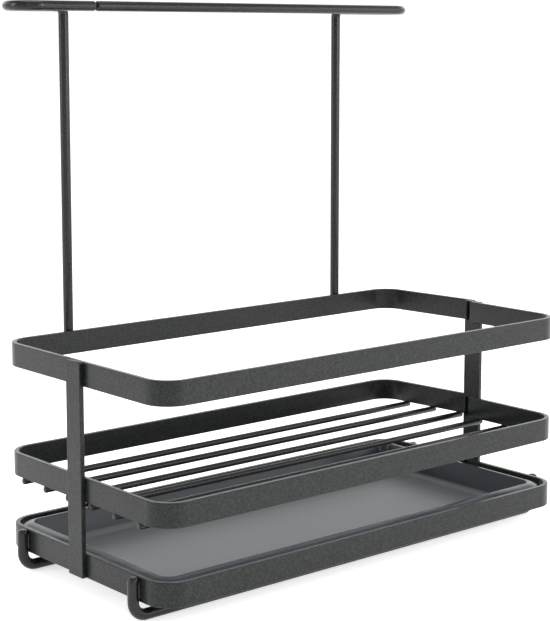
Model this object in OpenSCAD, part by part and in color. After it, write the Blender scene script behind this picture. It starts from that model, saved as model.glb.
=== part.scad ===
// Dish rack for the sink edge: three bent flat-bar rings on two posts, a wire shelf,
// two wire feet, a drip tray that lifts out and a cloth rail on two tall wires.
// +Z up, origin on the worktop in the middle of the footprint, +Y towards the cloth rail.

/* [Rings] */
// Length of each ring, outside
ring_l = 273; // [240:1:320]
// Depth of each ring, outside
ring_d = 138; // [126:1:170]
// Height of the flat bar that the rings are bent from
bar_h = 12; // [9:0.5:16]
// Thickness of the flat bar
bar_t = 2.5; // [2:0.1:3.5]
// Outside radius of the ring's corners
corner_r = 14; // [10:0.5:16]
// Height of the lower ring's bottom edge above the worktop
lower_z = 10; // [8:0.5:14]
// Height of the middle ring's bottom edge above the worktop
middle_z = 47.5; // [44:0.5:60]
// Height of the upper ring's bottom edge above the worktop
upper_z = 104; // [90:0.5:130]

/* [Posts] */
// Width of the two posts
post_w = 12; // [9:0.5:16]
// How far the right post stands in front of the rings' middle
right_post_set = 2; // [0:0.5:4]
// How far in front of the right post's rear edge a ring's front end stops, on its inner face
seam_lap = 6.5; // [4:0.5:9]
// How far a ring's rear end laps the right post's outer face
rear_lap = 4; // [2:0.5:6]

/* [Shelf] */
// Number of shelf wires
shelf_n = 6; // [6:1:6]
// Diameter of the shelf wires
shelf_wire_d = 3.4; // [2.5:0.1:4.5]
// Distance between two shelf wires
shelf_pitch = 20; // [16:0.5:22]
// How far a shelf wire's end shows past the ring's outer face
shelf_end = 0.5; // [0:0.1:2]

/* [Feet] */
// Diameter of the two foot wires
foot_wire_d = 5.5; // [4.5:0.1:7]
// Distance between the two foot wires
foot_gap = 96; // [80:1:104]
// Bend radius of the foot wires, at the wire's middle
foot_bend_r = 7; // [5:0.5:10]

/* [Cloth rail] */
// Diameter of the wire of the cloth rail and its two uprights
rail_wire_d = 5.2; // [4:0.1:6.5]
// Distance between the two uprights
upright_gap = 189; // [160:1:190]
// Height of the rail's middle above the worktop
rail_z = 284.3; // [230:0.1:320]
// Length of the rail over its two round ends
rail_l = 270; // [250:1:290]
// Depth of the rail's loops, from wire middle to wire middle
rail_loop = 22.6; // [18:0.2:30]
// Bend radius at the top of the uprights, at the wire's middle
upright_bend_r = 4; // [3.5:0.5:10]
// Where the two halves of the rail meet, to the left of the middle
rail_meet = 90; // [60:1:100]

/* [Drip tray] */
// Gap between the tray's rim and the ring round it, when the tray sits in the middle
tray_gap = 1.5; // [1.5:0.5:5]
// Width of the tray's rim
tray_rim = 6; // [4:0.5:7]
// How far the rim's outer edge turns down
tray_curl = 2.6; // [2:0.1:4]
// Corner radius of the tray's rim
tray_corner_r = 11.5; // [11.5:0.5:15]
// Thickness of the tray's wall
tray_t = 1.2; // [1:0.1:1.6]
// How far the tray's wall leans inwards from rim to floor
tray_lean = 2.5; // [0.5:0.5:2.5]
// How far the tray's rim stays below the lower ring's top edge
tray_drop = 0.2; // [0:0.1:2]

/* [Hidden] */
$fn = 64;

weld = 0.3;                             // how deep a welded wire sits in the bar
ring_y = -(rail_wire_d - weld) / 2;     // puts the middle of the whole footprint at the origin
half_l = ring_l / 2;
half_d = ring_d / 2;
post_h = upper_z + bar_h - lower_z;
seam_y = post_w / 2 - right_post_set;   // rear edge of the right post
straight_end = half_d - corner_r;       // where the ring's short sides meet its corners
spring_end = seam_y + 1;                // where the ring's rear end turns parallel to the post
foot_leg_x = half_l + foot_wire_d / 2 - weld;
upright_y = ring_y + half_d + rail_wire_d / 2 - weld;
rail_front_y = upright_y - rail_loop;
rail_turn_x = (rail_l - rail_wire_d - rail_loop) / 2;
tray_clear = 0.3;                       // the tray rests this far above the foot wires
tray_l = ring_l - 2 * bar_t - 2 * tray_gap;
tray_d = ring_d - 2 * bar_t - 2 * tray_gap;
tray_z = foot_wire_d + tray_clear;
tray_h = lower_z + bar_h - tray_drop - tray_z;
tray_set = [-0.8, 0.7];                 // the loose tray sits a little to the left and back

metal = "dimgray";
coat = "darkslategray";

// A rounded rectangle that is one solid block
module rounded_block(l, d, r, h) {
    linear_extrude(h) union() {
        square([l - 2 * r, d], center = true);
        square([l, d - 2 * r], center = true);
        for (sx = [-1, 1], sy = [-1, 1])
            translate([sx * (l / 2 - r), sy * (d / 2 - r)]) circle(r);
    }
}

// How far the rear half of a ring's right side stands out, at a distance y from the middle
function spring(y) = y < seam_y ? 0 : 2 * bar_t * (straight_end - y) / (straight_end - spring_end);

// One bar ring. Its front end is welded to the right post's inner face. Its rear half springs
// out from the corner, so that its rear end is welded to the post's outer face.
module ring(z) {
    inner_r = corner_r - bar_t;
    translate([0, ring_y, z]) {
        difference() {
            rounded_block(ring_l, ring_d, corner_r, bar_h);
            translate([0, 0, -1])
                rounded_block(ring_l - 2 * bar_t, ring_d - 2 * bar_t, inner_r, bar_h + 2);
            translate([half_l - corner_r / 2, seam_y - seam_lap, -1])
                cube([corner_r, straight_end - seam_y + seam_lap, bar_h + 2]);
        }
        linear_extrude(bar_h) polygon([
            [half_l - bar_t, straight_end], [half_l, straight_end],
            [half_l + 2 * bar_t, spring_end], [half_l + 2 * bar_t, seam_y - rear_lap],
            [half_l + bar_t, seam_y - rear_lap], [half_l + bar_t, spring_end]]);
    }
}

module post(side, set) {
    x = side < 0 ? -half_l - bar_t : half_l;
    translate([x, ring_y - set - post_w / 2, lower_z]) cube([bar_t, post_w, post_h]);
}

// A straight length of wire along X with a small round on each end
module rod(x0, x1, d) {
    r = d / 2;
    tip = d / 4;
    translate([x0, 0, 0]) rotate([0, 90, 0]) rotate_extrude() union() {
        translate([0, tip]) square([r, x1 - x0 - 2 * tip]);
        square([r - tip, x1 - x0]);
        for (y = [tip, x1 - x0 - tip]) translate([r - tip, y]) intersection() {
            circle(tip);
            translate([0, -tip]) square([tip, 2 * tip]);
        }
    }
}

// A bend of wire in the XY plane, turning about the origin from one angle to another
module bend(r, d, from, turn) {
    rotate([0, 0, from]) rotate_extrude(angle = turn) translate([r, 0]) circle(d / 2);
}

module shelf_wire(i) {
    y = (i - (shelf_n + 1) / 2) * shelf_pitch;
    end = half_l + shelf_end;
    translate([0, ring_y + y, middle_z - shelf_wire_d / 2 + weld])
        rod(-end, end + spring(y), shelf_wire_d);
}

// One foot: a wire along the worktop, bent up at both ends onto the lower ring's short sides
module foot_wire(y) {
    d = foot_wire_d;
    turn_x = foot_leg_x - foot_bend_r;
    leg = lower_z + bar_h - d / 2 - foot_bend_r;
    translate([0, ring_y + y, d / 2]) {
        translate([-turn_x, 0, 0]) rotate([0, 90, 0]) cylinder(h = 2 * turn_x, d = d);
        for (side = [0, 1]) mirror([side, 0, 0]) translate([turn_x, 0, foot_bend_r]) {
            rotate([90, 0, 0]) bend(foot_bend_r, d, -90, 90);
            translate([foot_bend_r, 0, leg]) rotate([0, 90, 0]) half_rod(leg, d);
        }
    }
}

// A straight length of wire from the origin along +X, with the round on its near end only
module half_rod(l, d) {
    intersection() {
        rod(0, l + d, d);
        translate([0, -d, -d]) cube([l, 2 * d, 2 * d]);
    }
}

// One half of the cloth rail: an upright, the bend outwards, the round turn to the front
// and the front rod, whose end is at x = tip. Drawn for the right side.
module rail_wire(tip) {
    d = rail_wire_d;
    foot = upper_z + 1;
    up_x = upright_gap / 2;
    translate([up_x, upright_y, foot]) rotate([0, -90, 0])
        half_rod(rail_z - upright_bend_r - foot, d);
    translate([up_x + upright_bend_r, upright_y, rail_z - upright_bend_r]) rotate([90, 0, 0])
        bend(upright_bend_r, d, 90, 90);
    translate([up_x + upright_bend_r, upright_y, rail_z]) rotate([0, 90, 0])
        cylinder(h = rail_turn_x - up_x - upright_bend_r, d = d);
    translate([rail_turn_x, upright_y - rail_loop / 2, rail_z])
        bend(rail_loop / 2, d, -90, 180);
    translate([tip, rail_front_y, rail_z]) half_rod(rail_turn_x - tip, d);
}

// Section through the tray's rim, wall and floor edge; x is measured from the corner's centre
module tray_section() {
    r = tray_corner_r;
    wall_x = r - tray_rim;
    foot_x = wall_x - tray_lean;
    ridge_x = (r + wall_x) / 2;
    ridge_z = tray_h - 0.5;
    polygon([
        [wall_x, tray_h], [ridge_x, ridge_z], [r, tray_h - 0.6 * tray_curl],
        [r, tray_h - tray_curl], [r - tray_t, tray_h - tray_curl],
        [r - tray_t, tray_h - 0.6 * tray_curl - tray_t / 2],
        [ridge_x, ridge_z - tray_t], [wall_x + tray_t, tray_h - tray_t],
        [foot_x + tray_t, tray_t], [foot_x, 0], [0, 0], [0, tray_t],
        [foot_x - tray_t, tray_t], [foot_x, 2 * tray_t]]);
}

module tray() {
    r = tray_corner_r;
    straight_l = tray_l - 2 * r;
    straight_d = tray_d - 2 * r;
    translate([tray_set[0], ring_y + tray_set[1], tray_z]) {
        translate([-straight_l / 2, -straight_d / 2, 0]) cube([straight_l, straight_d, tray_t]);
        for (i = [0, 1]) rotate([0, 0, 180 * i]) {
            translate([straight_l / 2, straight_d / 2, 0]) {
                rotate_extrude(angle = 90) tray_section();
                rotate([90, 0, 0]) linear_extrude(straight_d) tray_section();
            }
            translate([-straight_l / 2, straight_d / 2, 0]) {
                rotate([0, 0, 90]) rotate_extrude(angle = 90) tray_section();
                rotate([90, 0, 90]) linear_extrude(straight_l) tray_section();
            }
        }
    }
}

module upper_ring() { color(metal) ring(upper_z); }
module middle_ring() { color(metal) ring(middle_z); }
module lower_ring() { color(metal) ring(lower_z); }
module left_post() { color(metal) post(-1, 0); }
module right_post() { color(metal) post(1, right_post_set); }
module front_foot_wire() { color(coat) foot_wire(-foot_gap / 2); }
module rear_foot_wire() { color(coat) foot_wire(foot_gap / 2); }
module left_rail_wire() { color(coat) mirror([1, 0, 0]) rail_wire(rail_meet); }
module right_rail_wire() { color(coat) rail_wire(-rail_meet); }
module drip_tray() { color("slategray") tray(); }

upper_ring();
middle_ring();
lower_ring();
left_post();
right_post();
for (i = [1:shelf_n])
    color(coat) shelf_wire(i);
front_foot_wire();
rear_foot_wire();
left_rail_wire();
right_rail_wire();
drip_tray();
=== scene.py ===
import math

import bpy
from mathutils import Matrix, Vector, noise


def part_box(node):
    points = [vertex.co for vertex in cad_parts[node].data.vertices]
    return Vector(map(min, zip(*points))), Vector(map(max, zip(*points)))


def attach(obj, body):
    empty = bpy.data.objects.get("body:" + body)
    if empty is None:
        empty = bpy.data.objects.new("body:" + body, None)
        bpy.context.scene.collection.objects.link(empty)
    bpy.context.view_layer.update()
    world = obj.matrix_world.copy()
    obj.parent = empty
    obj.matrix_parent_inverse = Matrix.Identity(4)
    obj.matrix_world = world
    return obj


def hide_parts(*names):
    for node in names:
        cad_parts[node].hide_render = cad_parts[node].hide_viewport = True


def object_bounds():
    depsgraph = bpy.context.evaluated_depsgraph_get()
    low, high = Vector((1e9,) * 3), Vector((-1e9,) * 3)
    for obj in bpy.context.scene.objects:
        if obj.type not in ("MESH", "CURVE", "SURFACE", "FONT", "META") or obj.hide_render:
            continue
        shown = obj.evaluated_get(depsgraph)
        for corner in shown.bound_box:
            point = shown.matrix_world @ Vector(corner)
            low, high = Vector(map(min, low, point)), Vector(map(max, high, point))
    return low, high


# Dish rack in powder-coated flat bar and wire, with a moulded tray, in a pale studio.

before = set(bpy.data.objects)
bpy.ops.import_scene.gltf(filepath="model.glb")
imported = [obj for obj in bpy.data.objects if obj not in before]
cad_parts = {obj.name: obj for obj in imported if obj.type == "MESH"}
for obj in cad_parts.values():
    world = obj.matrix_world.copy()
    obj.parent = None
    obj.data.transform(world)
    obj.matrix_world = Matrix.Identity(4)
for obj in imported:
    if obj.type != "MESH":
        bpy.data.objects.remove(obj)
cadLow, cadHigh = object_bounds()

mm = 0.001


# Colours and shader nodes

def hexColour(code):
    # sRGB hex to the linear values that Blender wants
    parts = [int(code[i:i + 2], 16) / 255 for i in (1, 3, 5)]
    linear = [c / 12.92 if c <= 0.04045 else ((c + 0.055) / 1.055) ** 2.4 for c in parts]
    return (*linear, 1.0)


def addNode(tree, kind, settings=None, links=None):
    # one node, its settings by socket or property name, and what feeds it
    node = tree.nodes.new(kind)
    for key, value in (settings or {}).items():
        if isinstance(key, str) and hasattr(node, key):
            setattr(node, key, value)
        else:
            node.inputs[key].default_value = value
    for key, source in (links or {}).items():
        tree.links.new(source, node.inputs[key])
    return node


def newMaterial(name):
    material = bpy.data.materials.new(name)
    material.use_nodes = True
    material.node_tree.nodes.clear()
    return material, material.node_tree


# a Mix node's colour sockets, which share their names with its other sockets
mixFrom, mixTo, mixResult = 6, 7, 2


def perMetre(sizeMm):
    # texture scale for a grain of this size, in metres of object space
    return 1000 / sizeMm


# Polyester powder coat on steel, sprayed and baked: a fine sandy grain that breaks the
# gloss up, over a slight orange peel. The real grain is about 0.3 mm.
powderCoat = {
    "colour": "#121414",
    "fleck": "#2c2e2d",
    "fleckRange": (0.42, 0.68),          # grain height where a fleck starts, and where it is full
    "roughness": 0.31,
    "roughnessSpread": (-0.06, 0.08),    # in the hollows of the peel, and on its crests
    "gloss": 0.27,           # specular level: the matting agent keeps it under a plain lacquer's
    "grainMm": 0.9,          # drawn coarser than real, or it would not show
    "grainDepthMm": 0.02,
    "grainStrength": 0.8,
    "peelMm": 3.5,
    "peelDepthMm": 0.02,
    "peelStrength": 0.6,
}

# The same coat on wire, where it flows out a little smoother; its colour is painted a little darker
# than the bar's, as painted shade.
smootherShadedWireCoat = {**powderCoat, "colour": "#0f1111", "fleck": "#222423", "roughness": 0.23, "gloss": 0.33}

# Painted shade: the same coat made near black and dry, for beads that stand in for the shadow in the
# gap behind a ring's front end.
seamShadeLook = {**powderCoat, "colour": "#060707", "fleck": "#0b0c0c", "roughness": 0.7, "gloss": 0.1}

# Moulded ABS, satin: smooth enough to blur the wires above it into streaks, with the
# tool's very fine spark texture of about 0.2 mm.
mouldedAbs = {
    "colour": "#2c3137",
    "fleck": "#33383e",
    "flowMm": 60,            # slow colour drift of the melt
    "roughness": 0.24,
    "gloss": 0.25,
    "paintedLightFloorColour": "#646869",    # painted light: the floor is lighter than the walls, for the light that falls on it from above
    "floorRoughness": 0.42,
    "litAndDullFromMm": (7.3, 10.5),   # height where the floor's painted light and rougher finish start to fade, and where they end
    "grainMm": 0.8,          # drawn coarser than real, or it would not show
    "grainDepthMm": 0.0012,
    "grainStrength": 0.5,
}


def makePowderCoat(name, look):
    material, tree = newMaterial(name)
    place = addNode(tree, "ShaderNodeTexCoord").outputs["Object"]
    grain = addNode(tree, "ShaderNodeTexNoise",
                    {"Scale": perMetre(look["grainMm"]), "Detail": 3, "Roughness": 0.6},
                    {"Vector": place}).outputs["Fac"]
    peel = addNode(tree, "ShaderNodeTexNoise",
                   {"Scale": perMetre(look["peelMm"]), "Detail": 1}, {"Vector": place}).outputs["Fac"]
    start, full = look["fleckRange"]
    spots = addNode(tree, "ShaderNodeMapRange",
                    {"From Min": start, "From Max": full}, {"Value": grain}).outputs["Result"]
    colour = addNode(tree, "ShaderNodeMix",
                     {"data_type": "RGBA", mixFrom: hexColour(look["colour"]),
                      mixTo: hexColour(look["fleck"])},
                     {"Factor": spots}).outputs[mixResult]
    hollow, crest = look["roughnessSpread"]
    rough = addNode(tree, "ShaderNodeMapRange",
                    {"To Min": look["roughness"] + hollow, "To Max": look["roughness"] + crest},
                    {"Value": peel}).outputs["Result"]
    peelBump = addNode(tree, "ShaderNodeBump",
                       {"Strength": look["peelStrength"], "Distance": look["peelDepthMm"] * mm},
                       {"Height": peel})
    grainBump = addNode(tree, "ShaderNodeBump",
                        {"Strength": look["grainStrength"], "Distance": look["grainDepthMm"] * mm},
                        {"Height": grain, "Normal": peelBump.outputs["Normal"]})
    shader = addNode(tree, "ShaderNodeBsdfPrincipled",
                     {"IOR": 1.5, "Metallic": 0.0, "Specular IOR Level": look["gloss"]},
                     {"Base Color": colour, "Roughness": rough,
                      "Normal": grainBump.outputs["Normal"]})
    addNode(tree, "ShaderNodeOutputMaterial", None, {"Surface": shader.outputs["BSDF"]})
    return material


def makeMouldedAbs(name, look):
    material, tree = newMaterial(name)
    place = addNode(tree, "ShaderNodeTexCoord").outputs["Object"]
    grain = addNode(tree, "ShaderNodeTexNoise",
                    {"Scale": perMetre(look["grainMm"]), "Detail": 2}, {"Vector": place}).outputs["Fac"]
    flow = addNode(tree, "ShaderNodeTexNoise",
                   {"Scale": perMetre(look["flowMm"]), "Detail": 2}, {"Vector": place}).outputs["Fac"]
    colour = addNode(tree, "ShaderNodeMix",
                     {"data_type": "RGBA", mixFrom: hexColour(look["colour"]),
                      mixTo: hexColour(look["fleck"])},
                     {"Factor": flow}).outputs[mixResult]
    height = addNode(tree, "ShaderNodeSeparateXYZ", None, {"Vector": place}).outputs["Z"]
    # painted light: below these heights the floor is mixed to a lighter colour for the light from
    # above, and made rougher
    litAndDullUpTo, plainWallFrom = look["litAndDullFromMm"]
    litAndDull = addNode(tree, "ShaderNodeMapRange",
                   {"interpolation_type": "SMOOTHSTEP", "From Min": litAndDullUpTo * mm,
                    "From Max": plainWallFrom * mm, "To Min": 1.0, "To Max": 0.0},
                   {"Value": height}).outputs["Result"]
    colour = addNode(tree, "ShaderNodeMix",
                     {"data_type": "RGBA", mixTo: hexColour(look["paintedLightFloorColour"])},
                     {"Factor": litAndDull, mixFrom: colour}).outputs[mixResult]
    bump = addNode(tree, "ShaderNodeBump",
                   {"Strength": look["grainStrength"], "Distance": look["grainDepthMm"] * mm},
                   {"Height": grain})
    rough = addNode(tree, "ShaderNodeMapRange",
                    {"To Min": look["roughness"], "To Max": look["floorRoughness"]},
                    {"Value": litAndDull}).outputs["Result"]
    shader = addNode(tree, "ShaderNodeBsdfPrincipled",
                     {"IOR": 1.54, "Metallic": 0.0, "Specular IOR Level": look["gloss"]},
                     {"Base Color": colour, "Roughness": rough, "Normal": bump.outputs["Normal"]})
    addNode(tree, "ShaderNodeOutputMaterial", None, {"Surface": shader.outputs["BSDF"]})
    return material


print("stage: materials")
coatOnBar = makePowderCoat("powderCoatOnFlatBar", powderCoat)
# painted shade: the wires' coat is a darker copy of the bar's
smootherShadedCoatOnWire = makePowderCoat("powderCoatOnWireSmootherShaded", smootherShadedWireCoat)
# painted shade: a near-black copy of the coat for the seam gaps
seamShadeCoat = makePowderCoat("paintedSeamShadeCoat", seamShadeLook)
absOfTray = makeMouldedAbs("satinMouldedAbs", mouldedAbs)


# Mesh helpers

def addPiece(name, verts, faces, material, slot, body, nodes=()):
    mesh = bpy.data.meshes.new(name)
    mesh.from_pydata([tuple(v) for v in verts], [], faces)
    mesh.validate()
    mesh.polygons.foreach_set("use_smooth", [True] * len(mesh.polygons))
    mesh.materials.append(material)
    piece = bpy.data.objects.new(name, mesh)
    bpy.context.scene.collection.objects.link(piece)
    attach(piece, body)
    if nodes:
        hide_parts(*nodes)
    return piece


def bentLine(corners, radii, stepAngle=6):
    # a line through the corners with a round bend at each, as points in metres
    points = [Vector(corners[0])]
    for before, corner, after, radius in zip(corners, corners[1:], corners[2:], radii):
        corner = Vector(corner)
        a = (Vector(before) - corner).normalized()
        b = (Vector(after) - corner).normalized()
        turn = math.pi - a.angle(b)
        reach = radius * math.tan(turn / 2)
        middle = corner + (a + b).normalized() * (radius / math.cos(turn / 2))
        start, end = corner + a * reach - middle, corner + b * reach - middle
        axis = start.cross(end).normalized()
        steps = max(2, round(math.degrees(turn) / stepAngle))
        for i in range(steps + 1):
            angle = turn * i / steps
            points.append(middle + start * math.cos(angle) + axis.cross(start) * math.sin(angle))
    points.append(Vector(corners[-1]))
    return points


def roundCut(depth, steps=4):
    # how a cut end is rounded over: (distance from the end, how far the section shrinks)
    angles = [math.pi / 2 * i / steps for i in range(steps)]
    return [(depth[0] * (1 - math.sin(a)), depth[1] * (1 - math.cos(a))) for a in angles][::-1]


def endStations(line, startCut, endCut):
    # (point, tangent, shrink) along the line, with extra stations for the rounded ends
    tangents = []
    for i, point in enumerate(line):
        ahead = (line[i + 1] - point).normalized() if i + 1 < len(line) else Vector()
        behind = (point - line[i - 1]).normalized() if i > 0 else Vector()
        tangents.append((ahead + behind).normalized())
    stations = [(p, t, 0.0) for p, t in zip(line, tangents)]
    if startCut:
        first, tangent = line[0], tangents[0]
        stations[0:1] = [(first + tangent * d, tangent, s) for d, s in startCut]
    if endCut:
        last, tangent = line[-1], tangents[-1]
        stations[-1:] = [(last - tangent * d, tangent, s) for d, s in reversed(endCut)]
    return stations


def sweep(line, section, up, startCut=None, endCut=None):
    # runs a closed section along a line, with rounded and capped ends
    verts, faces = [], []
    stations = endStations(line, startCut, endCut)
    count = len(section(0.0))
    upward = Vector(up)
    for point, tangent, shrink in stations:
        upward = (upward - tangent * upward.dot(tangent)).normalized()
        side = tangent.cross(upward)
        verts += [point + side * a + upward * b for a, b in section(shrink)]
    for i in range(len(stations) - 1):
        for j in range(count):
            k = (j + 1) % count
            faces.append((i * count + j, i * count + k, (i + 1) * count + k, (i + 1) * count + j))
    faces.append(tuple(reversed(range(count))))
    faces.append(tuple((len(stations) - 1) * count + j for j in range(count)))
    return verts, faces


def barSection(width, height, edge, steps=4, guard=0.15 * mm, leastEdge=0.02 * mm):
    # a flat bar on edge: a rectangle with rolled edges, and a close pair of points where
    # each flat starts so that it stays flat under smooth shading
    def section(shrink):
        rolled = max(edge - shrink, leastEdge)
        w, h = width / 2 - shrink - rolled, height / 2 - shrink - rolled
        points = []
        for x, y, start in ((1, 1, 0), (-1, 1, 90), (-1, -1, 180), (1, -1, 270)):
            arc = []
            for i in range(steps + 1):
                a = math.radians(start + 90 * i / steps)
                arc.append((x * w + rolled * math.cos(a), y * h + rolled * math.sin(a)))
            a0, a1 = math.radians(start), math.radians(start + 90)
            before = (arc[0][0] + guard * math.sin(a0), arc[0][1] - guard * math.cos(a0))
            after = (arc[-1][0] - guard * math.sin(a1), arc[-1][1] + guard * math.cos(a1))
            points += [before, *arc, after]
        return points
    return section


def wireSection(radius, sides=28):
    def section(shrink):
        r = radius - shrink
        return [(r * math.cos(2 * math.pi * i / sides), r * math.sin(2 * math.pi * i / sides))
                for i in range(sides)]
    return section


def merge(parts):
    verts, faces = [], []
    for v, f in parts:
        base = len(verts)
        verts += v
        faces += [tuple(i + base for i in face) for face in f]
    return verts, faces


bead = {
    "ringMm": 0.35,          # spacing of the rings that a bead is made of
    "leastRings": 6,
    "lump": 0.16,            # height of its lumps, as a share of its radius
    "lumpsPerMetre": 1100,
    "bluntness": 6,          # of its ends: a higher number pinches them nearer the tips
    "ripple": 0.05,          # height of its ripples, as a share of its radius
    "rippleMm": 1.3,
}


def weldBead(start, end, radius, seed, sides=14):
    # a short run of weld: a lumpy rope with pinched ends
    start, end = Vector(start), Vector(end)
    length = (end - start).length
    tangent = (end - start).normalized()
    up = Vector((0, 0, 1)) if abs(tangent.z) < 0.9 else Vector((0, 1, 0))
    up = (up - tangent * up.dot(tangent)).normalized()
    side = tangent.cross(up)
    rings = max(bead["leastRings"], round(length / (bead["ringMm"] * mm)))
    verts, faces = [], []
    for i in range(rings + 1):
        t = i / rings
        swell = max(0.0, 1 - (2 * t - 1) ** bead["bluntness"]) ** 0.5
        ripple = 1 + bead["ripple"] * math.sin(2 * math.pi * length * t / (bead["rippleMm"] * mm))
        spot = start + tangent * (length * t)
        for j in range(sides):
            a = 2 * math.pi * j / sides
            out = side * math.cos(a) + up * math.sin(a)
            noisePlace = (spot + out * radius) * bead["lumpsPerMetre"] + Vector((seed, 0, 0))
            lump = 1 + bead["lump"] * noise.noise(noisePlace)
            verts.append(spot + out * radius * swell * lump * ripple)
    for i in range(rings):
        for j in range(sides):
            k = (j + 1) % sides
            faces.append((i * sides + j, i * sides + k, (i + 1) * sides + k, (i + 1) * sides + j))
    return verts, faces


# Rings of flat bar

ringBar = {
    "edgeMm": 0.4,           # the rolled edge of the bar
    "cornerMm": 14,
    "cutRoundMm": 0.35,
    "frontLapMm": 6.5,       # from the right post's rear edge to the ring's front end
    "rearLapMm": 4,          # the ring's rear end over the right post's outer face
    "springClearMm": 1,      # the ring is fully sprung out this far behind the post
    "springLeadMm": 2,       # and leaves its line this far before the corner
    "springBendMm": 20,      # its two soft bends there
    "lapBendMm": 8,
}

ringNodes = {"upperRing": "upper_ring", "middleRing": "middle_ring", "lowerRing": "lower_ring"}

lowerLow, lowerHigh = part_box("lower_ring")
leftPostLow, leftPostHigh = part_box("left_post")
rightPostLow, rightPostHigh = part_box("right_post")
barThick = leftPostHigh.x - leftPostLow.x
barHigh = lowerHigh.z - lowerLow.z
halfLong = -lowerLow.x
ringFront, ringBack = lowerLow.y, lowerHigh.y
postRear = rightPostHigh.y
straightEnd = ringBack - ringBar["cornerMm"] * mm
springEnd = postRear + ringBar["springClearMm"] * mm


def springOut(y):
    # how far the rear half of a ring's right side stands out
    if y < postRear:
        return 0.0
    return max(0.0, 2 * barThick * (straightEnd - y) / (straightEnd - springEnd))


def makeRing(name, node):
    low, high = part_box(node)
    half = barThick / 2
    x, front, back = halfLong - half, ringFront + half, ringBack - half
    z = (low.z + high.z) / 2
    radius = ringBar["cornerMm"] * mm - half
    out = x + 2 * barThick
    corners = [(x, postRear - ringBar["frontLapMm"] * mm, z), (x, front, z), (-x, front, z),
               (-x, back, z), (x, back, z), (x, straightEnd - ringBar["springLeadMm"] * mm, z),
               (out, springEnd, z), (out, postRear - ringBar["rearLapMm"] * mm, z)]
    bends = [radius] * 4 + [ringBar["springBendMm"] * mm, ringBar["lapBendMm"] * mm]
    line = bentLine(corners, bends)
    cut = roundCut((ringBar["cutRoundMm"] * mm,) * 2)
    section = barSection(barThick, barHigh, ringBar["edgeMm"] * mm)
    verts, faces = sweep(line, section, (0, 0, 1), cut, cut)
    return addPiece(name, verts, faces, coatOnBar, "flat_bar", "rack", [node])


for ringName, ringNode in ringNodes.items():
    makeRing(ringName, ringNode)
print("stage: rings")


# Posts

postBar = {"edgeMm": 0.4, "cutRoundMm": 0.8, "cutShrinkMm": 0.4}


def makePost(name, node):
    low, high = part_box(node)
    x, y = (low.x + high.x) / 2, (low.y + high.y) / 2
    line = [Vector((x, y, low.z)), Vector((x, y, high.z))]
    cut = roundCut((postBar["cutRoundMm"] * mm, postBar["cutShrinkMm"] * mm))
    section = barSection(high.x - low.x, high.y - low.y, postBar["edgeMm"] * mm)
    verts, faces = sweep(line, section, (0, 1, 0), cut, cut)
    return addPiece(name, verts, faces, coatOnBar, "flat_bar", "rack", [node])


makePost("leftPost", "left_post")
makePost("rightPost", "right_post")
print("stage: posts")


# Shelf wires

shelfWire = {"count": 6, "sides": 24, "tipMm": 0.9}


def makeShelfWire(number):
    low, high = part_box(f"shelf_wire_{number}")
    radius = (high.z - low.z) / 2
    y, z = (low.y + high.y) / 2, (low.z + high.z) / 2
    line = [Vector((low.x, y, z)), Vector((high.x, y, z))]
    cut = roundCut((shelfWire["tipMm"] * mm, shelfWire["tipMm"] * mm))
    verts, faces = sweep(line, wireSection(radius, shelfWire["sides"]), (0, 0, 1), cut, cut)
    return addPiece(f"shelfWire{number}", verts, faces, smootherShadedCoatOnWire, "wire", "rack",
                    [f"shelf_wire_{number}"])


for number in range(1, shelfWire["count"] + 1):
    makeShelfWire(number)
print("stage: shelf")


# Feet

footWire = {"sides": 32, "bendMm": 7, "tipMm": 2.0, "tipShrink": 0.8, "tipSteps": 6}


def makeFoot(name, node):
    low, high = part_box(node)
    radius = (high.y - low.y) / 2
    x, y = high.x - radius, (low.y + high.y) / 2
    bottom = low.z + radius
    line = bentLine([(-x, y, high.z), (-x, y, bottom), (x, y, bottom), (x, y, high.z)],
                    [footWire["bendMm"] * mm] * 2)
    cut = roundCut((footWire["tipMm"] * mm, radius * footWire["tipShrink"]), footWire["tipSteps"])
    verts, faces = sweep(line, wireSection(radius, footWire["sides"]), (0, 1, 0), cut, cut)
    return addPiece(name, verts, faces, smootherShadedCoatOnWire, "wire", "rack", [node])


makeFoot("frontFoot", "front_foot_wire")
makeFoot("rearFoot", "rear_foot_wire")
print("stage: feet")


# Cloth rail

railWire = {
    "sides": 36,
    "bendMm": 4,             # where an upright turns into the back rod
    "loopMm": 22.6,          # between the middles of the back rod and the front rod
    "sliverMm": 0.0001,      # keeps a round turn's two bends from meeting in one point
    "uprightGapMm": 189,
    "tipMm": 1.6,
    "tipShrink": 0.75,
    "tipSteps": 6,
}


def makeRailWire(name, node, side):
    low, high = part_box(node)
    radius = (high.y - low.y - railWire["loopMm"] * mm) / 2
    z, back, front = high.z - radius, high.y - radius, low.y + radius
    loop = railWire["loopMm"] * mm / 2
    upright = side * railWire["uprightGapMm"] * mm / 2
    turn = (high.x - radius) if side > 0 else (low.x + radius)
    tip = low.x if side > 0 else high.x
    corners = [(upright, back, low.z), (upright, back, z), (turn, back, z),
               (turn, front, z), (tip, front, z)]
    turnRadius = loop - railWire["sliverMm"] * mm
    line = bentLine(corners, [railWire["bendMm"] * mm, turnRadius, turnRadius])
    cut = roundCut((railWire["tipMm"] * mm, radius * railWire["tipShrink"]), railWire["tipSteps"])
    verts, faces = sweep(line, wireSection(radius, railWire["sides"]), (0, 1, 0), cut, cut)
    return addPiece(name, verts, faces, smootherShadedCoatOnWire, "wire", "rack", [node])


makeRailWire("leftRailWire", "left_rail_wire", -1)
makeRailWire("rightRailWire", "right_rail_wire", 1)
print("stage: cloth rail")


# Drip tray

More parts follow.
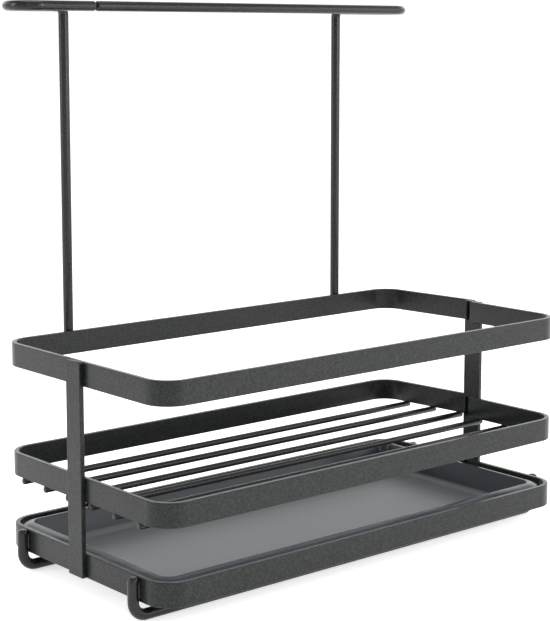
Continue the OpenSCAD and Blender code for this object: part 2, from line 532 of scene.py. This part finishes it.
dripTray = {
    "cornerMm": 11.5,
    "cornerSteps": 14,
    "wallMm": 1.2,
    "leanMm": 2.5,           # how far the wall leans outwards
    "rimMm": 6,
    "ridgeFallMm": 0.5,      # how far the rim falls from the wall to its middle
    "curlMm": 2.6,           # how far its outer edge is turned down
    "curlBend": 0.6,         # how far down the bend above it is, as a share of the curl
    "hubMm": 0.1,            # the floor's flat middle reaches this far round a corner's centre
    "floorRoundMm": 3.0,
    "footRoundMm": 1.5,
    "rimRoundMm": 0.5,
    "ridgeRoundMm": 3,
    "underRidgeRoundMm": 2,
    "curlRoundMm": 0.7,
    "edgeRoundMm": 0.3,
}


def roundCorners(corners):
    # a section's corners, each with its own round: (point, radius, steps)
    points = []
    for i, (point, radius, steps) in enumerate(corners):
        if not radius:
            points.append(point)
            continue
        before, after = corners[i - 1][0], corners[i + 1][0]
        arc = bentLine([(*before, 0), (*point, 0), (*after, 0)], [radius], 90 / steps)[1:-1]
        points += [(p.x, p.y) for p in arc]
    return points


def traySection(high, look):
    # (distance from the corner's centre, height), from the middle of the floor's top, up the
    # wall, over the rim, which slopes outwards and turns down, and back underneath
    r, t, curl = look["cornerMm"] * mm, look["wallMm"] * mm, look["curlMm"] * mm
    wall = r - look["rimMm"] * mm
    foot = wall - look["leanMm"] * mm
    ridge, ridgeHigh = (r + wall) / 2, high - look["ridgeFallMm"] * mm
    bend, hub = high - look["curlBend"] * curl, look["hubMm"] * mm
    crest, edge = look["rimRoundMm"] * mm, look["edgeRoundMm"] * mm
    return roundCorners([
        ((hub, t), 0, 0),
        ((foot - t * 0.2, t), look["floorRoundMm"] * mm, 8),
        ((wall, high), crest, 6),
        ((ridge, ridgeHigh), look["ridgeRoundMm"] * mm, 6),
        ((r, bend), look["curlRoundMm"] * mm, 6),
        ((r, high - curl), edge, 3),
        ((r - t, high - curl), edge, 3),
        ((r - t, bend - t / 2), edge, 3),
        ((ridge, ridgeHigh - t), look["underRidgeRoundMm"] * mm, 4),
        ((wall + t, high - t), crest, 4),
        ((foot + t, 0), look["footRoundMm"] * mm, 6),
        ((hub, 0), 0, 0)])


def makeTray():
    low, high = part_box("drip_tray")
    corner = dripTray["cornerMm"] * mm
    section = traySection(high.z - low.z, dripTray)
    centreX, centreY = (low.x + high.x) / 2, (low.y + high.y) / 2
    coreX, coreY = (high.x - low.x) / 2 - corner, (high.y - low.y) / 2 - corner
    steps = dripTray["cornerSteps"]
    spokes = []
    for quarter, (sx, sy) in enumerate(((1, 1), (-1, 1), (-1, -1), (1, -1))):
        for i in range(steps + 1):
            a = math.pi / 2 * (quarter + i / steps)
            spokes.append((Vector((centreX + sx * coreX, centreY + sy * coreY, low.z)),
                           Vector((math.cos(a), math.sin(a), 0))))
    verts = [core + out * r + Vector((0, 0, z)) for r, z in section for core, out in spokes]
    count, faces = len(spokes), []
    for i in range(len(section) - 1):
        for j in range(count):
            k = (j + 1) % count
            faces.append((i * count + j, (i + 1) * count + j, (i + 1) * count + k, i * count + k))
    last = (len(section) - 1) * count
    faces.append(tuple(range(count)))
    faces.append(tuple(last + j for j in reversed(range(count))))
    return addPiece("dripTray", verts, faces, absOfTray, "tray", "tray", ["drip_tray"])


makeTray()
print("stage: tray")


# Welds

weld = {
    "postMm": 0.9,           # radius of the beads along each post
    "postInsetMm": 0.8,      # they stop this far inside its edges
    "postEndMm": 1,          # and are left out this near its ends
    "seamMm": 0.95,          # radius of the bead behind a ring's front end
    "seamSetMm": 3.9,        # how far it stands behind that end
    "seamProudMm": 0.1,      # how far its middle is off the post's inner face
    "seamInsetMm": 0.3,      # how far its ends are inside the bar's edges
    "footMm": 1.0,
    "footProudMm": 0.35,
    "footInsetMm": (1.5, 2),         # from the lower ring's bottom edge, and from its top edge
    "footSpread": 0.62,      # of the wire's radius, to either side of its middle
    "uprightMm": 1.1,
    "uprightProudMm": 0.4,
    "uprightInsetMm": (2, 1.5),
    "uprightSpreadMm": 1.7,
    "shelfMm": 0.8,
    "shelfReachMm": 1.1,     # half the length of a bead across the bar
    "shelfDropMm": 0.2,
    "shelfSpread": 0.72,
    "seeds": {"post": 7, "seam": 5, "foot": 31, "upright": 57, "shelf": 90},
}


def makePostWelds():
    beads, seed = [], 0
    inset, end = weld["postInsetMm"] * mm, weld["postEndMm"] * mm
    for node in ringNodes.values():
        low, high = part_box(node)
        for postLow, postHigh, x in ((leftPostLow, leftPostHigh, leftPostHigh.x),
                                     (rightPostLow, rightPostHigh, rightPostLow.x)):
            for z in (low.z, high.z):
                if z >= postHigh.z - end or z <= postLow.z + end:
                    continue
                rear = postHigh.y - inset
                if x > 0:
                    rear = postRear - ringBar["frontLapMm"] * mm
                seed += weld["seeds"]["post"]
                beads.append(weldBead((x, postLow.y + inset, z), (x, rear, z),
                                      weld["postMm"] * mm, seed))
    return beads


def makeSeamShadeBeads():
    # painted shade: near-black beads behind a ring's front end, standing in for the shadow in the gap
    # there
    beads = []
    inset = weld["seamInsetMm"] * mm
    y = postRear + (weld["seamSetMm"] - ringBar["frontLapMm"]) * mm
    x = rightPostLow.x - weld["seamProudMm"] * mm
    for node in ringNodes.values():
        low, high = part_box(node)
        beads.append(weldBead((x, y, low.z + inset), (x, y, high.z - inset),
                              weld["seamMm"] * mm, weld["seeds"]["seam"] + len(beads)))
    return beads


def makeFootWelds():
    beads = []
    below, above = (inset * mm for inset in weld["footInsetMm"])
    for node in ("front_foot_wire", "rear_foot_wire"):
        low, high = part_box(node)
        radius = (high.y - low.y) / 2
        for sideX in (-1, 1):
            for edge in (-1, 1):
                y = (low.y + high.y) / 2 + edge * radius * weld["footSpread"]
                x = sideX * (halfLong + weld["footProudMm"] * mm)
                beads.append(weldBead((x, y, lowerLow.z + below), (x, y, lowerHigh.z - above),
                                      weld["footMm"] * mm, weld["seeds"]["foot"] + len(beads)))
    return beads


def makeUprightWelds():
    beads = []
    low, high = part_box("upper_ring")
    below, above = (inset * mm for inset in weld["uprightInsetMm"])
    y = ringBack + weld["uprightProudMm"] * mm
    for sideX in (-1, 1):
        for edge in (-1, 1):
            x = sideX * railWire["uprightGapMm"] * mm / 2 + edge * weld["uprightSpreadMm"] * mm
            beads.append(weldBead((x, y, low.z + below), (x, y, high.z - above),
                                  weld["uprightMm"] * mm, weld["seeds"]["upright"] + len(beads)))
    return beads


def makeShelfWelds():
    beads = []
    reach = weld["shelfReachMm"] * mm
    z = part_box("middle_ring")[0].z - weld["shelfDropMm"] * mm
    for number in range(1, shelfWire["count"] + 1):
        low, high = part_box(f"shelf_wire_{number}")
        middle, radius = (low.y + high.y) / 2, (high.y - low.y) / 2
        for end in (-1, 1):
            x = end * (halfLong - barThick / 2)
            if end > 0:
                x += springOut(middle)
            for edge in (-1, 1):
                y = middle + edge * radius * weld["shelfSpread"]
                beads.append(weldBead((x - reach, y, z), (x + reach, y, z),
                                      weld["shelfMm"] * mm, weld["seeds"]["shelf"] + len(beads)))
    return beads


addPiece("postWelds", *merge(makePostWelds()), coatOnBar, "flat_bar", "rack")
# painted shade: near-black beads in the seam gap behind each ring's front end
addPiece("paintedSeamShadeBeads", *merge(makeSeamShadeBeads()), seamShadeCoat, "flat_bar", "rack")
addPiece("footWelds", *merge(makeFootWelds()), smootherShadedCoatOnWire, "wire", "rack")
addPiece("uprightWelds", *merge(makeUprightWelds()), smootherShadedCoatOnWire, "wire", "rack")
addPiece("shelfWelds", *merge(makeShelfWelds()), smootherShadedCoatOnWire, "wire", "rack")
print("stage: welds")


# Studio

studio = {
    "floor": "#f6f6f6",
    "floorMetres": 24,          # wide enough that its edge is never in sight
    "toothMm": 1.5,             # grain of the paper
    "glow": "#ffffff",
    "floorGlow": 0.62,          # paper lit from below, which takes the shadows out
    "floorGlowFront": 0.3,      # where it falls off towards the front left
    "floorFade": (-0.5, -0.1),  # metres along the bright way, from the one to the other
    "skyLow": 1.1,              # brightness at the horizon
    "skyMiddle": 1.9,           # how much brighter the wall lights above it are
    "skyTop": 0.3,              # share of it that is left straight overhead
    "skyRise": (0.06, 0.2),     # heights between which the wall lights come in, of 1 overhead
    "skyFall": (0.3, 0.8),      # and between which they fade again
    "skyFront": 0.45,           # share of it that is left at the front left
    "skyFade": (-0.65, 0.65),   # from the one side to the other, of 1 along the bright way
    "brightWay": (0.76, 0.65, 0),    # a unit vector towards the rear right
    "lights": {
        # name: (place, aim, width, height, watts)
        "rightFill": ((0.97, -1.15, 0.4), (0, 0, 0.1), 1.2, 0.7, 5),
        "frontStrip": ((0.36, -1.46, 0.6), (0, 0, 0.15), 0.3, 1.4, 10),
        "leftStrip": ((-1.41, 0.52, 0.6), (0, 0, 0.15), 0.3, 1.4, 8),
        "railGlint": ((-0.85, -1.0, 0.75), (0, 0, 0.25), 0.6, 0.25, 1.4),
        "overhead": ((0, 0, 1.6), (0, 0, 0.1), 1.2, 1.0, 8),
    },
}


def fallOff(tree, place, reach, values):
    # a value that rises along the bright way, between two distances or directions
    along = addNode(tree, "ShaderNodeVectorMath",
                    {"operation": "DOT_PRODUCT", 1: studio["brightWay"]}, {0: place})
    return addNode(tree, "ShaderNodeMapRange",
                   {"interpolation_type": "SMOOTHSTEP", "From Min": reach[0], "From Max": reach[1],
                    "To Min": values[0], "To Max": values[1]},
                   {"Value": along.outputs["Value"]}).outputs["Result"]


def makeFloor():
    material, tree = newMaterial("paleMattPaper")    # seamless paper: matt, very slightly toothed
    place = addNode(tree, "ShaderNodeTexCoord").outputs["Object"]
    tooth = addNode(tree, "ShaderNodeTexNoise", {"Scale": perMetre(studio["toothMm"])},
                    {"Vector": place})
    bump = addNode(tree, "ShaderNodeBump", {"Strength": 0.1, "Distance": 0.02 * mm},
                   {"Height": tooth.outputs["Fac"]})
    glow = fallOff(tree, place, studio["floorFade"], (studio["floorGlowFront"], studio["floorGlow"]))
    shader = addNode(tree, "ShaderNodeBsdfPrincipled",
                     {"Base Color": hexColour(studio["floor"]), "Roughness": 0.95,
                      "Specular IOR Level": 0.2, "Emission Color": hexColour(studio["glow"])},
                     {"Normal": bump.outputs["Normal"], "Emission Strength": glow})
    addNode(tree, "ShaderNodeOutputMaterial", None, {"Surface": shader.outputs["BSDF"]})
    size = studio["floorMetres"] / 2
    mesh = bpy.data.meshes.new("studioFloor")
    mesh.from_pydata([(-size, -size, 0), (size, -size, 0), (size, size, 0), (-size, size, 0)], [],
                     [(0, 1, 2, 3)])
    mesh.materials.append(material)
    floor = bpy.data.objects.new("studioFloor", mesh)
    floor.location.z = cadLow.z - 0.02 * mm
    bpy.context.scene.collection.objects.link(floor)


def makeLights():
    world = bpy.data.worlds.new("paleRoom")
    bpy.context.scene.world = world
    world.use_nodes = True
    tree = world.node_tree
    tree.nodes.clear()
    towards = addNode(tree, "ShaderNodeTexCoord").outputs["Generated"]
    upward = addNode(tree, "ShaderNodeSeparateXYZ", None, {"Vector": towards}).outputs["Z"]
    riseFrom, riseTo = studio["skyRise"]
    rising = addNode(tree, "ShaderNodeMapRange",
                     {"interpolation_type": "SMOOTHSTEP", "From Min": riseFrom, "From Max": riseTo,
                      "To Min": studio["skyLow"], "To Max": studio["skyLow"] * studio["skyMiddle"]},
                     {"Value": upward}).outputs["Result"]
    fallFrom, fallTo = studio["skyFall"]
    fading = addNode(tree, "ShaderNodeMapRange",
                     {"interpolation_type": "SMOOTHSTEP", "From Min": fallFrom, "From Max": fallTo,
                      "To Min": 1.0, "To Max": studio["skyTop"]}, {"Value": upward}).outputs["Result"]
    bySide = fallOff(tree, towards, studio["skyFade"], (studio["skyFront"], 1.0))
    byHeight = addNode(tree, "ShaderNodeMath", {"operation": "MULTIPLY"},
                       {0: rising, 1: fading}).outputs["Value"]
    strength = addNode(tree, "ShaderNodeMath", {"operation": "MULTIPLY"},
                       {0: byHeight, 1: bySide}).outputs["Value"]
    back = addNode(tree, "ShaderNodeBackground", {"Color": hexColour(studio["glow"])},
                   {"Strength": strength})
    addNode(tree, "ShaderNodeOutputWorld", None, {"Surface": back.outputs["Background"]})
    for name, (place, aim, width, height, watts) in studio["lights"].items():
        data = bpy.data.lights.new(name, "AREA")
        data.shape, data.size, data.size_y, data.energy = "RECTANGLE", width, height, watts
        light = bpy.data.objects.new(name, data)
        light.location = place
        aimAt = Vector(aim) - Vector(place)
        light.rotation_euler = aimAt.to_track_quat("-Z", "Y").to_euler()
        bpy.context.scene.collection.objects.link(light)


view = {
    "place": (-0.5601, -0.6493, 0.2702),
    "turnDegrees": 40.25,      # to the right of straight ahead
    "downDegrees": 7.45,
    "lensMm": 94.94,
    "sensorMm": 36,
    "shiftDown": 0.10,
}


def makeCamera():
    data = bpy.data.cameras.new("studioCamera")
    data.lens, data.sensor_width = view["lensMm"], view["sensorMm"]
    data.shift_y = -view["shiftDown"]
    camera = bpy.data.objects.new("studioCamera", data)
    turn, down = math.radians(view["turnDegrees"]), math.radians(view["downDegrees"])
    look = Vector((math.sin(turn) * math.cos(down), math.cos(turn) * math.cos(down),
                   -math.sin(down)))
    camera.location = view["place"]
    camera.rotation_euler = look.to_track_quat("-Z", "Y").to_euler()
    bpy.context.scene.collection.objects.link(camera)
    bpy.context.scene.camera = camera


makeFloor()
makeLights()
makeCamera()
bpy.context.scene.view_settings.view_transform = "Standard"
print("stage: studio")
